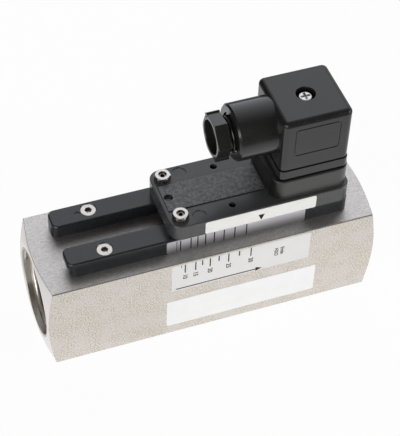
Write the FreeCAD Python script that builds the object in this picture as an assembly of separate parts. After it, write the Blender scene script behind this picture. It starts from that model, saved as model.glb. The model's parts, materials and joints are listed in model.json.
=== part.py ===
import FreeCAD, Part
import math
import os
from FreeCAD import Vector

# Variable area flow switch, in millimetres. The liquid flows along +X through a square steel body and
# pushes a spring-loaded float with a magnet along a slotted nozzle. A reed switch in a housing on top
# is slid along two rails to the flow at which it should switch, and is wired through a square plug.
# +Z is up. The origin lies in the middle of the body's underside.

# Flow body
body_width = 40.0
body_length = 131.0
body_edge = 0.3
end_face_margin = 0.4
corner_cone_angle = 15.0
bore_radius = 14.5
port_radius = 16.62
port_depth = 22.0
port_chamfer = 0.25

# Slotted nozzle and its rings
nozzle_flange_thickness = 3.0
nozzle_flange_clearance = 0.5
nozzle_wall = 2.0
seat_distance = 11.3
orifice_radius = 8.6
slot_count = 4
slot_narrow = 1.6
slot_wide = 9.0
slot_end_radius = 0.8
rib_length = 10.0
rib_width = 2.4
ring_thickness = 1.2
ring_width = 2.2
ring_bite = 0.9
ring_gap_angle = 40.0
end_lip = 1.5

# Float and spring
float_radius = 10.1
float_travel = 30.0
float_front_thickness = 4.0
float_nose_height = 2.5
float_nose_radius = 5.5
stem_radius = 3.5
magnet_length = 12.0
magnet_radius = 8.0
float_cap_thickness = 3.0
cap_hub_length = 3.0
cap_hub_radius = 5.2
spring_radius = 6.4
spring_wire = 1.2
spring_turns = 6
spring_margin = 3.8
spring_seat_thickness = 2.5
seat_hole_radius = 2.2
seat_hole_count = 5

# Rails
rail_length = 110.4
rail_center_x = -0.3
rail_width = 9.1
rail_height = 7.0
rail_spacing = 10.3
rail_lip = 1.2
rail_lip_height = 2.4
rail_corner = 2.5
rail_edge = 0.7
rail_screw_inset = 15.1
rail_screw_radius = 1.5
rail_screw_head = 2.9
rail_screw_head_height = 1.7
rail_screw_sink = 0.3
rail_screw_length = 13.0
rail_socket_flats = 2.5
rail_socket_depth = 1.3
rail_mark_radius = 1.1
rail_mark_depth = 0.3
rail_mark_offset = 4.45
rail_mark_side = 0.9

# Switch housing
housing_length = 70.9
housing_width = 30.4
housing_height = 6.9
housing_overhang = 0.1
housing_wall = 2.2
housing_roof = 2.0
housing_corner = 4.6
housing_edge = 0.4
plateau_width = 13.1
plateau_height = 0.4
plateau_inset = 1.5
plateau_gap = 0.5
dimple_radius = 1.7
dimple_depth = 1.2
dimple_inset = 3.5
side_hole_radius = 1.35
side_hole_inset = 25.0
mark_radius = 2.65
mark_depth = 0.3
mark_inset = 11.7
mark_offset = 11.5

# Housing base, keel and reed switch
base_plate_thickness = 1.5
keel_inset = 5.0
keel_length = 42.0
keel_depth = 6.0
keel_side_gap = 0.5
hook_height = 2.4
trough_wall = 2.3
trough_floor = 1.0
reed_radius = 2.0
reed_length = 20.0
reed_inset = 29.0
reed_bore_radius = 1.4
blade_width = 1.8
blade_thickness = 0.4
blade_gap = 0.15
blade_overlap = 2.0
wire_radius = 0.4
wire_reach = 1.6

# Clamp screws and lock nuts
clamp_inset = 4.7
clamp_radius = 1.5
clamp_socket_flats = 1.5
clamp_socket_depth = 1.5
clamp_below_nut = 0.8
clamp_tip_gap = 0.3
nut_flats = 5.5
nut_height = 2.4
nut_chamfer = 0.35
nut_turn = -18.0
bush_radius = 2.4
boss_wall = 1.6

# Connector base on the housing
pedestal_length = 30.4
pedestal_width = 27.4
pedestal_height = 8.75
pedestal_margin = 0.5
pedestal_corner = 5.0
pedestal_edge = 0.4
window_radius = 10.6
pin_count = 3
pin_circle_radius = 9.0
pin_width = 6.2
pin_thickness = 0.8
pin_height = 9.5
pin_tail = 3.4
base_nut_radius = 2.75
base_nut_height = 5.0
base_nut_depth = 1.6
base_screw_spread = 9.5
base_screw_radius = 1.4
base_screw_head = 2.5
base_screw_head_height = 1.8
base_screw_length = 12.0
base_screw_boss = 2.8
driver_slot_width = 0.7

# Plug connector
gasket_thickness = 1.75
gasket_inset = 0.1
gasket_groove = 1.0
gasket_lip_rise = 0.25
gasket_lip_height = 0.55
cover_width = 27.0
cover_height = 27.7
cover_wall = 1.8
cover_roof = 2.0
cover_corner = 2.3
cover_top_chamfer = 1.9
frame_width = 17.8
frame_height = 13.0
frame_rise = 11.0
frame_corner = 1.5
frame_groove_width = 0.45
frame_groove_depth = 0.25
rim_height = 4.0
rim_overhang = 0.25
rim_edge = 0.4
groove_height = 0.6
groove_depth = 0.5
block_height = 14.5
block_clearance = 0.3
contact_wall = 0.7
contact_height = 10.0
terminal_screw_radius = 1.4
terminal_screw_head = 2.4
terminal_screw_head_height = 1.6
pillar_radius = 4.8
recess_radius = 3.7
recess_depth = 3.4
center_screw_radius = 1.5
center_screw_head = 2.7
center_screw_head_height = 2.2
center_screw_cross_reach = 1.8
center_screw_cross_width = 0.9
center_screw_cross_depth = 1.2

# Cable gland
gland_rise = 16.53
collar_radius = 10.85
collar_length = 15.1
collar_chamfer = 0.7
gland_thread_radius = 7.6
gland_nut_flats = 15.5
gland_nut_length = 5.0
gland_nut_chamfer = 0.2
gland_nut_turn = 50.0
gland_neck_radius = 6.7
gland_neck_length = 3.1
gland_shank_length = 6.0
gland_shank_inset = 0.6
cable_hole_radius = 5.6
cable_mouth_radius = 6.5
cable_mouth_depth = 3.4
cable_mouth_chamfer = 0.3
gland_washer_thickness = 0.8
gland_seal_length = 5.0
gland_seal_hole = 4.2
wall_hole_radius = 5.2

# Stickers
sticker_thickness = 0.12
sticker_corner = 0.8
strip_length = 55.0
strip_start = 37.8
strip_margin = 0.05
scale_label_length = 55.4
scale_label_height = 14.2
scale_label_start = 48.0
scale_label_drop = 1.0
type_label_length = 60.8
type_label_height = 14.2
type_label_start = 46.2
type_label_rise = 4.8
housing_label_length = 44.0
housing_label_margin = 0.2
housing_label_inset = 12.8

# Fits
running_clearance = 0.1
assembly_clearance = 0.2
stop_clearance = 0.2
rounding_step = 0.1
overcut = 1.0

# Levels and stations worked out from the sizes above
axis_height = body_width / 2
half_length = body_length / 2
inlet_shoulder_x = port_depth - half_length
outlet_shoulder_x = half_length - port_depth

nozzle_bore_radius = float_radius + running_clearance
nozzle_radius = nozzle_bore_radius + nozzle_wall
nozzle_front_x = inlet_shoulder_x - nozzle_flange_thickness
seat_x = inlet_shoulder_x + seat_distance
float_front_x = seat_x + stop_clearance
magnet_front_x = float_front_x + float_front_thickness
cap_front_x = magnet_front_x + magnet_length
cap_back_x = cap_front_x + float_cap_thickness
spring_room = float_travel + spring_turns * spring_wire + spring_margin
spring_seat_x = cap_back_x + spring_room
seat_ring_x = spring_seat_x + spring_seat_thickness
nozzle_end_x = seat_ring_x + ring_thickness + end_lip

rail_left_x = rail_center_x - rail_length / 2
rail_right_x = rail_center_x + rail_length / 2
rail_inner_y = rail_spacing / 2
rail_outer_y = rail_inner_y + rail_width
rail_stem_y = rail_inner_y + rail_lip
screw_line_y = (rail_stem_y + rail_outer_y) / 2
rail_top_z = body_width + rail_height
rail_lip_z = rail_top_z - rail_lip_height
rail_screw_xs = (rail_left_x + rail_screw_inset, rail_right_x - rail_screw_inset)
rail_screw_top_z = rail_top_z - rail_screw_sink
rail_screw_seat_z = rail_screw_top_z - rail_screw_head_height

housing_right_x = rail_right_x + housing_overhang
housing_left_x = housing_right_x - housing_length
housing_side_y = housing_width / 2
housing_bottom_z = rail_top_z + running_clearance
housing_top_z = housing_bottom_z + housing_height
cavity_top_z = housing_top_z - housing_roof
plate_top_z = housing_bottom_z + base_plate_thickness
clamp_x = housing_left_x + clamp_inset
nut_top_z = housing_top_z + nut_height

connector_x = housing_right_x - pedestal_margin - pedestal_length / 2
pedestal_left_x = connector_x - pedestal_length / 2
pedestal_top_z = housing_top_z + pedestal_height
cover_bottom_z = pedestal_top_z + gasket_thickness
cover_top_z = cover_bottom_z + cover_height
rim_top_z = cover_bottom_z + rim_height
cover_left_x = connector_x - cover_width / 2
rim_half = cover_width / 2 + rim_overhang
cavity_half = cover_width / 2 - cover_wall
block_half = cavity_half - block_clearance
block_bottom_z = pedestal_top_z + assembly_clearance
block_top_z = block_bottom_z + block_height
recess_floor_z = cover_top_z - recess_depth
pin_top_z = pedestal_top_z + pin_height
pin_bottom_z = housing_top_z - pin_tail
base_nut_top_z = pedestal_top_z - base_nut_depth
base_nut_bottom_z = base_nut_top_z - base_nut_height

gland_z = cover_bottom_z + gland_rise
collar_end_x = cover_left_x - collar_length
collar_bore_radius = gland_thread_radius + running_clearance
shank_start_x = collar_end_x + gland_shank_inset
shank_end_x = shank_start_x + gland_shank_length
hex_end_x = shank_start_x - gland_neck_length
hex_start_x = hex_end_x - gland_nut_length
washer_x = shank_end_x + running_clearance
seal_x = washer_x + gland_washer_thickness
seal_end_x = seal_x + gland_seal_length

keel_left_x = housing_left_x + keel_inset
keel_right_x = keel_left_x + keel_length
keel_side_y = rail_inner_y - keel_side_gap
keel_bottom_z = housing_bottom_z - keel_depth
hook_side_y = rail_stem_y - assembly_clearance
hook_top_z = rail_lip_z - assembly_clearance
trough_side_y = keel_side_y - trough_wall
trough_floor_z = keel_bottom_z + trough_floor
reed_x = housing_left_x + reed_inset
reed_z = trough_floor_z + reed_radius
reed_left_x = reed_x - reed_length / 2
reed_right_x = reed_x + reed_length / 2


def block(x_low, x_high, y_low, y_high, z_low, z_high):
    """Upright box between two corners."""
    return Part.makeBox(x_high - x_low, y_high - y_low, z_high - z_low, Vector(x_low, y_low, z_low))


def post(radius, x, y, z_low, z_high):
    """Upright cylinder."""
    return Part.makeCylinder(radius, z_high - z_low, Vector(x, y, z_low))


def along_x(radius, x_low, x_high, z):
    """Cylinder along X in the middle plane."""
    return Part.makeCylinder(radius, x_high - x_low, Vector(x_low, 0, z), Vector(1, 0, 0))


def turned(profile, z=axis_height):
    """Solid turned about a line along X at height z, from (x, radius) points."""
    points = [Vector(x, 0, z + radius) for x, radius in profile]
    face = Part.Face(Part.makePolygon(points + points[:1]))
    return face.revolve(Vector(0, 0, z), Vector(1, 0, 0), 360)


def turned_upright(profile, x, y):
    """Solid turned about an upright line, from (radius, z) points."""
    points = [Vector(x + radius, y, z) for radius, z in profile]
    face = Part.Face(Part.makePolygon(points + points[:1]))
    return face.revolve(Vector(x, y, 0), Vector(0, 0, 1), 360)


def tube(outer, inner, x_low, x_high, z=axis_height):
    """Plain ring along X."""
    return turned([(x_low, inner), (x_low, outer), (x_high, outer), (x_high, inner)], z)


def hexagon(flats, x, y, z_low, z_high, turn=0.0):
    """Upright hexagonal prism, measured across its flats."""
    reach = flats / math.sqrt(3)
    angles = [math.radians(turn + 60 * corner) for corner in range(6)]
    points = [Vector(x + reach * math.cos(a), y + reach * math.sin(a), z_low) for a in angles]
    face = Part.Face(Part.makePolygon(points + points[:1]))
    return face.extrude(Vector(0, 0, z_high - z_low))


def hexagon_along_x(flats, x_low, x_high, z, turn):
    """Hexagonal prism along X, measured across its flats."""
    reach = flats / math.sqrt(3)
    angles = [math.radians(turn + 60 * corner) for corner in range(6)]
    points = [Vector(x_low, reach * math.cos(a), z + reach * math.sin(a)) for a in angles]
    face = Part.Face(Part.makePolygon(points + points[:1]))
    return face.extrude(Vector(x_high - x_low, 0, 0))


def upright_edges(shape):
    """Straight edges that stand upright."""
    return [edge for edge in shape.Edges if edge.BoundBox.ZLength > 0.99 * edge.Length]


def edges_along_x(shape):
    """Straight edges that run from left to right."""
    return [edge for edge in shape.Edges if edge.BoundBox.XLength > 0.99 * edge.Length]


def edges_along_y(shape):
    """Straight edges that run from front to back."""
    return [edge for edge in shape.Edges if edge.BoundBox.YLength > 0.99 * edge.Length]


def level_edges(shape, z):
    """Edges that lie flat at height z."""
    edges = []
    for edge in shape.Edges:
        box = edge.BoundBox
        if abs(box.ZMin - z) < 1e-4 and abs(box.ZMax - z) < 1e-4:
            edges.append(edge)
    return edges


def plate(x_low, x_high, y_low, y_high, z_low, z_high, corner):
    """Box with rounded upright corners."""
    shape = block(x_low, x_high, y_low, y_high, z_low, z_high)
    return shape.makeFillet(corner, upright_edges(shape))


def square_plate(half_x, half_y, z_low, z_high, corner):
    """Plate centred on the connector's axis."""
    return plate(connector_x - half_x, connector_x + half_x, -half_y, half_y, z_low, z_high, corner)


def fused(shapes):
    """One solid from overlapping shapes."""
    first = shapes[0]
    return first.multiFuse(shapes[1:]).removeSplitter()


def turned_copy(shape, angle):
    """Copy turned about the flow axis."""
    copy = shape.copy()
    copy.rotate(Vector(0, 0, axis_height), Vector(1, 0, 0), angle)
    return copy


def bent_wire(points, radius):
    """Round wire along straight runs with ball corners."""
    pieces = []
    for start, end in zip(points, points[1:]):
        run = end - start
        pieces.append(Part.makeCylinder(radius, run.Length, start, run))
    for corner in points[1:-1]:
        pieces.append(Part.makeSphere(radius, corner))
    return fused(pieces)


def retaining_ring(outer, x_low):
    """Open snap ring about the flow axis, with its gap at the bottom."""
    ring = tube(outer, outer - ring_width - ring_bite, x_low, x_low + ring_thickness)
    reach = outer + overcut
    half_gap = reach * math.tan(math.radians(ring_gap_angle / 2))
    cut_x = x_low - overcut
    wedge = [
        Vector(cut_x, 0, axis_height),
        Vector(cut_x, -half_gap, axis_height - reach),
        Vector(cut_x, half_gap, axis_height - reach),
    ]
    gap = Part.Face(Part.makePolygon(wedge + wedge[:1])).extrude(Vector(ring_thickness + 2 * overcut, 0, 0))
    return ring.cut(gap)


def flow_body():
    """Square bar with broken edges, turned-back end corners, a bore, two ports and four tapped holes."""
    half_width = body_width / 2
    end_radius = half_width - end_face_margin
    corner_radius = half_width * math.sqrt(2) + overcut
    setback = (corner_radius - end_radius) * math.tan(math.radians(corner_cone_angle))
    bar = block(-half_length, half_length, -half_width, half_width, 0, body_width)
    bar = bar.makeChamfer(body_edge, edges_along_x(bar))
    envelope = turned([
        (-half_length, 0),
        (-half_length, end_radius),
        (setback - half_length, corner_radius),
        (half_length - setback, corner_radius),
        (half_length, end_radius),
        (half_length, 0),
    ])
    mouth_radius = port_radius + port_chamfer + overcut
    groove_radius = port_radius + ring_bite
    groove_x = nozzle_front_x - ring_thickness
    passage = turned([
        (-half_length - overcut, 0),
        (-half_length - overcut, mouth_radius),
        (port_chamfer - half_length, port_radius),
        (groove_x, port_radius),
        (groove_x, groove_radius),
        (nozzle_front_x, groove_radius),
        (nozzle_front_x, port_radius),
        (inlet_shoulder_x, port_radius),
        (inlet_shoulder_x, bore_radius),
        (outlet_shoulder_x, bore_radius),
        (outlet_shoulder_x, port_radius),
        (half_length - port_chamfer, port_radius),
        (half_length + overcut, mouth_radius),
        (half_length + overcut, 0),
    ])
    body = bar.common(envelope).cut(passage)
    hole_bottom_z = rail_screw_top_z - rail_screw_length - overcut
    for x in rail_screw_xs:
        for y in (-screw_line_y, screw_line_y):
            body = body.cut(post(rail_screw_radius, x, y, hole_bottom_z, body_width + overcut))
    return body


def slotted_nozzle():
    """Flanged sleeve with tapered slots that the float uncovers, and ribs that centre its far end."""
    flange_radius = port_radius - nozzle_flange_clearance
    groove_radius = nozzle_bore_radius + ring_bite
    groove_end_x = seat_ring_x + ring_thickness
    sleeve = turned([
        (nozzle_front_x, orifice_radius),
        (nozzle_front_x, flange_radius),
        (inlet_shoulder_x, flange_radius),
        (inlet_shoulder_x, nozzle_radius),
        (nozzle_end_x, nozzle_radius),
        (nozzle_end_x, nozzle_bore_radius),
        (groove_end_x, nozzle_bore_radius),
        (groove_end_x, groove_radius),
        (seat_ring_x, groove_radius),
        (seat_ring_x, nozzle_bore_radius),
        (seat_x, nozzle_bore_radius),
        (seat_x, orifice_radius),
    ])
    slot_start_x = float_front_x + float_front_thickness / 2
    slot_end_x = slot_start_x + float_travel + float_front_thickness
    outline = [
        Vector(slot_start_x, -slot_narrow / 2, axis_height),
        Vector(slot_end_x, -slot_wide / 2, axis_height),
        Vector(slot_end_x, slot_wide / 2, axis_height),
        Vector(slot_start_x, slot_narrow / 2, axis_height),
    ]
    slot = Part.Face(Part.makePolygon(outline + outline[:1])).extrude(Vector(0, 0, nozzle_radius + overcut))
    slot = slot.makeFillet(slot_end_radius, upright_edges(slot)[1:3])
    rib_top = bore_radius - running_clearance
    rib = block(nozzle_end_x - rib_length, nozzle_end_x, -rib_width / 2, rib_width / 2,
                axis_height + nozzle_radius - nozzle_wall / 2, axis_height + rib_top)
    pitch = 360 / slot_count
    ribs = [turned_copy(rib, pitch * index) for index in range(slot_count)]
    nozzle = fused([sleeve] + ribs)
    for index in range(slot_count):
        nozzle = nozzle.cut(turned_copy(slot, pitch * (index + 0.5)))
    return nozzle


def nozzle_ring():
    """Snap ring that holds the nozzle's flange against the inlet shoulder."""
    return retaining_ring(port_radius + ring_bite, nozzle_front_x - ring_thickness)


def spring_seat():
    """Perforated disc at the far end of the nozzle, with a pilot for the spring."""
    disc_radius = nozzle_bore_radius
    pilot_radius = spring_radius - spring_wire / 2 - assembly_clearance
    hole_circle = (disc_radius + pilot_radius) / 2
    disc = along_x(disc_radius, spring_seat_x, seat_ring_x, axis_height)
    pilot_front_x = spring_seat_x - spring_wire
    pilot = along_x(pilot_radius, pilot_front_x, seat_ring_x, axis_height)
    bore = along_x(pilot_radius / 2, pilot_front_x - overcut, seat_ring_x + overcut, axis_height)
    seat = fused([disc, pilot]).cut(bore)
    hole_radius = min(seat_hole_radius, (disc_radius - pilot_radius) / 2 - assembly_clearance)
    hole = along_x(hole_radius, spring_seat_x - overcut, seat_ring_x + overcut, axis_height + hole_circle)
    for index in range(seat_hole_count):
        seat = seat.cut(turned_copy(hole, 360 * index / seat_hole_count))
    return seat


def seat_ring():
    """Snap ring that holds the spring seat in the nozzle."""
    return retaining_ring(nozzle_bore_radius + ring_bite, seat_ring_x)


def return_spring():
    """Coil spring between the float's cap and the spring seat, as half turns in tilted planes."""
    half_pitch = (spring_room - spring_wire) / (2 * spring_turns)
    start_x = cap_back_x + spring_wire / 2
    halves = []
    side = 1
    for index in range(2 * spring_turns):
        start = Vector(start_x + half_pitch * index, 0, axis_height + side * spring_radius)
        middle = Vector(start.x + half_pitch / 2, 0, axis_height)
        section = Part.Face(Part.Wire(Part.makeCircle(spring_wire / 2, start, Vector(0, 1, 0))))
        halves.append(section.revolve(middle, Vector(2 * spring_radius, 0, side * half_pitch), 180))
        side = -side
    return fused(halves)


def float_body():
    """Float with a domed nose towards the inlet and a stem for the magnet and the cap."""
    nose_x = float_front_x - float_nose_height
    return turned([
        (nose_x, 0),
        (nose_x, float_nose_radius / 2),
        (float_front_x - float_nose_height / 2, float_nose_radius),
        (float_front_x, float_nose_radius + float_nose_height / 2),
        (float_front_x, float_radius),
        (magnet_front_x, float_radius),
        (magnet_front_x, stem_radius),
        (cap_back_x, stem_radius),
        (cap_back_x, 0),
    ])


def float_magnet():
    """Ring magnet on the float's stem."""
    return tube(magnet_radius, stem_radius, magnet_front_x, cap_front_x)


def float_cap():
    """Rear guide of the float, screwed on its stem, with a hub inside the spring."""
    hub_radius = min(cap_hub_radius, spring_radius - spring_wire / 2 - assembly_clearance)
    return turned([
        (cap_front_x, stem_radius),
        (cap_front_x, float_radius),
        (cap_back_x, float_radius),
        (cap_back_x, hub_radius),
        (cap_back_x + cap_hub_length, hub_radius),
        (cap_back_x + cap_hub_length, 0),
        (cap_back_x, 0),
        (cap_back_x, stem_radius),
    ])


def front_rail():
    """Rail with a lip along its inside and its left end, round ends and two countersunk holes."""
    flange = plate(rail_left_x, rail_right_x, -rail_outer_y, -rail_inner_y,
                   rail_lip_z, rail_top_z, rail_corner)
    flange = flange.makeFillet(rail_edge, level_edges(flange, rail_top_z))
    stem = plate(rail_left_x + rail_lip, rail_right_x, -rail_outer_y, -rail_stem_y,
                 body_width, rail_lip_z + rail_edge, rail_corner)
    rail = fused([flange, stem])
    cone_slope = (rail_screw_head - rail_screw_radius) / rail_screw_head_height
    sink_reach = rail_screw_head + cone_slope * (rail_screw_sink + overcut)
    for x in rail_screw_xs:
        hole = post(rail_screw_radius, x, -screw_line_y, body_width - overcut, rail_top_z + overcut)
        sink = turned_upright([
            (0, rail_screw_seat_z),
            (rail_screw_radius, rail_screw_seat_z),
            (sink_reach, rail_top_z + overcut),
            (0, rail_top_z + overcut),
        ], x, -screw_line_y)
        rail = rail.cut(hole).cut(sink)
    return rail


def rear_rail():
    """The front rail's twin, turned half round, with a shallow moulding mark beside its screw."""
    rail = front_rail()
    rail.rotate(Vector(rail_center_x, 0, 0), Vector(0, 0, 1), 180)
    mark_x = rail_screw_xs[0] - rail_mark_offset
    mark_y = screw_line_y - rail_mark_side
    mark = post(rail_mark_radius, mark_x, mark_y, rail_top_z - rail_mark_depth, rail_top_z + overcut)
    return rail.cut(mark)


def rail_screws():
    """Countersunk socket screws that hold the rails on the body."""
    screws = []
    for x in rail_screw_xs:
        for y in (-screw_line_y, screw_line_y):
            screw = turned_upright([
                (0, rail_screw_top_z - rail_screw_length),
                (rail_screw_radius, rail_screw_top_z - rail_screw_length),
                (rail_screw_radius, rail_screw_seat_z),
                (rail_screw_head, rail_screw_top_z),
                (0, rail_screw_top_z),
            ], x, y)
            socket_floor = rail_screw_top_z - rail_socket_depth
            screws.append(screw.cut(hexagon(rail_socket_flats, x, y, socket_floor, rail_top_z + overcut)))
    return Part.makeCompound(screws)


def sticker(x_low, length, z_low, height, face_y):
    """Thin label with rounded corners on a face that looks towards -Y."""
    low_y = face_y - sticker_thickness
    shape = block(x_low, x_low + length, low_y, face_y, z_low, z_low + height)
    return shape.makeFillet(sticker_corner, edges_along_y(shape))


def rail_scale_strip():
    """Scale strip along the front rail's outer side."""
    height = rail_height - rail_edge - 2 * strip_margin
    x_low = rail_left_x + strip_start
    return sticker(x_low, strip_length, body_width + strip_margin, height, -rail_outer_y)


def flow_scale_label():
    """Flow scale on the body's front."""
    x_low = scale_label_start - half_length
    z_low = body_width - scale_label_drop - scale_label_height
    return sticker(x_low, scale_label_length, z_low, scale_label_height, -body_width / 2)


def type_label():
    """Plain label on the body's front, below the flow scale."""
    x_low = type_label_start - half_length
    return sticker(x_low, type_label_length, type_label_rise, type_label_height, -body_width / 2)


def switch_housing():
    """Flat housing, open below, with a raised panel, screw bosses and a window for the pins."""
    shell = plate(housing_left_x, housing_right_x, -housing_side_y, housing_side_y,
                  housing_bottom_z, housing_top_z, housing_corner)
    shell = shell.makeFillet(housing_edge, level_edges(shell, housing_top_z))
    panel = block(housing_left_x + plateau_inset, pedestal_left_x - plateau_gap,
                  -plateau_width / 2, plateau_width / 2,
                  cavity_top_z, housing_top_z + plateau_height)
    cavity = plate(housing_left_x + housing_wall, housing_right_x - housing_wall,
                   housing_wall - housing_side_y, housing_side_y - housing_wall,
                   housing_bottom_z - overcut, cavity_top_z, housing_corner - housing_wall / 2)
    nut_room = nut_flats / math.sqrt(3) + assembly_clearance
    for y in (-screw_line_y, screw_line_y):
        cavity = cavity.cut(post(bush_radius + boss_wall, clamp_x, y, plate_top_z, cavity_top_z))
        panel = panel.cut(post(nut_room, clamp_x, y, cavity_top_z, nut_top_z))
    for x, y in base_screw_places():
        cavity = cavity.cut(post(base_screw_boss, x, y, plate_top_z, cavity_top_z))
    housing = fused([shell, panel]).cut(cavity)
    window = post(window_radius, connector_x, 0, cavity_top_z - overcut, housing_top_z + overcut)
    housing = housing.cut(window)
    for y in (-screw_line_y, screw_line_y):
        housing = housing.cut(post(bush_radius, clamp_x, y, housing_bottom_z, housing_top_z + overcut))
        housing = housing.cut(post(side_hole_radius, housing_left_x + side_hole_inset, y,
                                   cavity_top_z - overcut, housing_top_z + overcut))
    for y in (-mark_offset, mark_offset):
        housing = housing.cut(post(mark_radius, housing_left_x + mark_inset, y,
                                   housing_top_z - mark_depth, housing_top_z + overcut))
    panel_top_z = housing_top_z + plateau_height
    housing = housing.cut(post(dimple_radius, housing_left_x + dimple_inset, 0,
                               panel_top_z - dimple_depth, panel_top_z + overcut))
    for x, y in base_screw_places():
        housing = housing.cut(post(base_screw_radius, x, y, plate_top_z - overcut, housing_top_z + overcut))
    return housing


def base_screw_places():
    """Middle lines of the four screws that hold the connector base."""
    places = []
    for side_x in (-1, 1):
        for side_y in (-1, 1):
            places.append((connector_x + side_x * base_screw_spread, side_y * base_screw_spread))
    return places


def housing_base():
    """Plate that closes the housing, with a keel whose hooks run under the rails' inner lips."""
    edge = housing_wall + assembly_clearance
    bottom = plate(housing_left_x + edge, housing_right_x - edge,
                   edge - housing_side_y, housing_side_y - edge,
                   housing_bottom_z, plate_top_z, housing_corner - housing_wall / 2 - assembly_clearance)
    keel = block(keel_left_x, keel_right_x, -keel_side_y, keel_side_y, keel_bottom_z, plate_top_z)
    hooks = block(keel_left_x, keel_right_x, -hook_side_y, hook_side_y,
                  hook_top_z - hook_height, hook_top_z)
    base = fused([bottom, keel, hooks])
    room = wire_reach + 2 * wire_radius
    trough = block(reed_left_x - room, reed_right_x + room, -trough_side_y, trough_side_y,
                   trough_floor_z, plate_top_z + overcut)
    base = base.cut(trough)
    for y in (-screw_line_y, screw_line_y):
        base = base.cut(post(bush_radius, clamp_x, y, housing_bottom_z - overcut, plate_top_z + overcut))
    return base


def reed_glass():
    """Glass tube of the reed switch with closed round ends."""
    return turned([
        (reed_left_x, wire_radius),
        (reed_left_x, reed_radius / 2),
        (reed_left_x + reed_radius / 2, reed_radius),
        (reed_right_x - reed_radius / 2, reed_radius),
        (reed_right_x, reed_radius / 2),
        (reed_right_x, wire_radius),
        (reed_right_x - reed_radius, wire_radius),
        (reed_right_x - reed_radius, reed_bore_radius),
        (reed_left_x + reed_radius, reed_bore_radius),
        (reed_left_x + reed_radius, wire_radius),
    ], reed_z)


def reed_blades():
    """Two springy blades that overlap across a small gap inside the glass."""
    half_width = blade_width / 2
    lower_z = reed_z - blade_gap / 2 - blade_thickness
    upper_z = reed_z + blade_gap / 2
    lower = block(reed_left_x + reed_radius, reed_x + blade_overlap, -half_width, half_width,
                  lower_z, lower_z + blade_thickness)
    upper = block(reed_x - blade_overlap, reed_right_x - reed_radius, -half_width, half_width,
                  upper_z, upper_z + blade_thickness)
    return Part.makeCompound([lower, upper])


def lead_wires():
    """Wires from the reed switch's ends to the two live pins."""
    left_end = reed_left_x - wire_reach
    right_end = reed_right_x + wire_reach
    side = pin_width / 4
    first_pin = connector_x - pin_circle_radius - pin_thickness / 2
    second_pin = connector_x + pin_circle_radius - pin_thickness / 2
    low_z = plate_top_z + wire_radius + running_clearance
    high_z = cavity_top_z - wire_radius - running_clearance
    first = bent_wire([
        Vector(reed_left_x + reed_radius, 0, reed_z),
        Vector(left_end, 0, reed_z),
        Vector(left_end, -side, high_z),
        Vector(first_pin, -side, high_z),
    ], wire_radius)
    second = bent_wire([
        Vector(reed_right_x - reed_radius, 0, reed_z),
        Vector(right_end, 0, reed_z),
        Vector(right_end, side, low_z),
        Vector(second_pin - wire_reach, side, low_z),
        Vector(second_pin - wire_reach, side, high_z),
        Vector(second_pin, side, high_z),
    ], wire_radius)
    return Part.makeCompound([first, second])


def clamp_bushes():
    """Threaded brass bushes for the clamp screws."""
    bushes = []
    hole_radius = clamp_radius + running_clearance
    for y in (-screw_line_y, screw_line_y):
        bush = post(bush_radius, clamp_x, y, housing_bottom_z, housing_top_z)
        bore = post(hole_radius, clamp_x, y, housing_bottom_z - overcut, housing_top_z + overcut)
        bushes.append(bush.cut(bore))
    return Part.makeCompound(bushes)


def clamp_screw(y):
    """Socket set screw that presses on a rail."""
    top_z = nut_top_z - clamp_below_nut
    screw = post(clamp_radius, clamp_x, y, rail_top_z + clamp_tip_gap, top_z)
    socket = hexagon(clamp_socket_flats, clamp_x, y, top_z - clamp_socket_depth, top_z + overcut)
    return screw.cut(socket)


def front_clamp_screw():
    """Clamp screw over the front rail."""
    return clamp_screw(-screw_line_y)


def rear_clamp_screw():
    """Clamp screw over the rear rail."""
    return clamp_screw(screw_line_y)


def lock_nut(y):
    """Hexagon nut with a chamfered top that locks a clamp screw."""
    nut = hexagon(nut_flats, clamp_x, y, housing_top_z, nut_top_z, nut_turn)
    reach = nut_flats / math.sqrt(3)
    crown = turned_upright([
        (0, housing_top_z),
        (reach + overcut, housing_top_z),
        (reach + overcut, nut_top_z - nut_chamfer - overcut * nut_chamfer / (reach - nut_flats / 2)),
        (nut_flats / 2, nut_top_z),
        (0, nut_top_z),
    ], clamp_x, y)
    bore = post(clamp_radius + running_clearance, clamp_x, y, housing_top_z - overcut, nut_top_z + overcut)
    return nut.common(crown).cut(bore)


def front_lock_nut():
    """Lock nut of the front clamp screw."""
    return lock_nut(-screw_line_y)


def rear_lock_nut():
    """Lock nut of the rear clamp screw."""
    return lock_nut(screw_line_y)


def housing_label():
    """Plain label with a pointer's place on the housing's front."""
    height = housing_height - housing_edge - 2 * housing_label_margin
    return sticker(housing_left_x + housing_label_inset, housing_label_length,
                   housing_bottom_z + housing_label_margin, height, -housing_side_y)


def pin_blade(index, clearance, z_low, z_high):
    """Flat upright blade: the first two lie left and right of the centre, the third behind it."""
    half_width = pin_width / 2 + clearance
    half_thickness = pin_thickness / 2 + clearance
    if index < 2:
        x = connector_x + (2 * index - 1) * pin_circle_radius
        return block(x - half_thickness, x + half_thickness, -half_width, half_width, z_low, z_high)
    y = pin_circle_radius
    return block(connector_x - half_width, connector_x + half_width, y - half_thickness, y + half_thickness,
                 z_low, z_high)


def pin_place(index):
    """Middle of a pin in plan."""
    if index < 2:
        return connector_x + (2 * index - 1) * pin_circle_radius, 0.0
    return connector_x, pin_circle_radius


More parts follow.
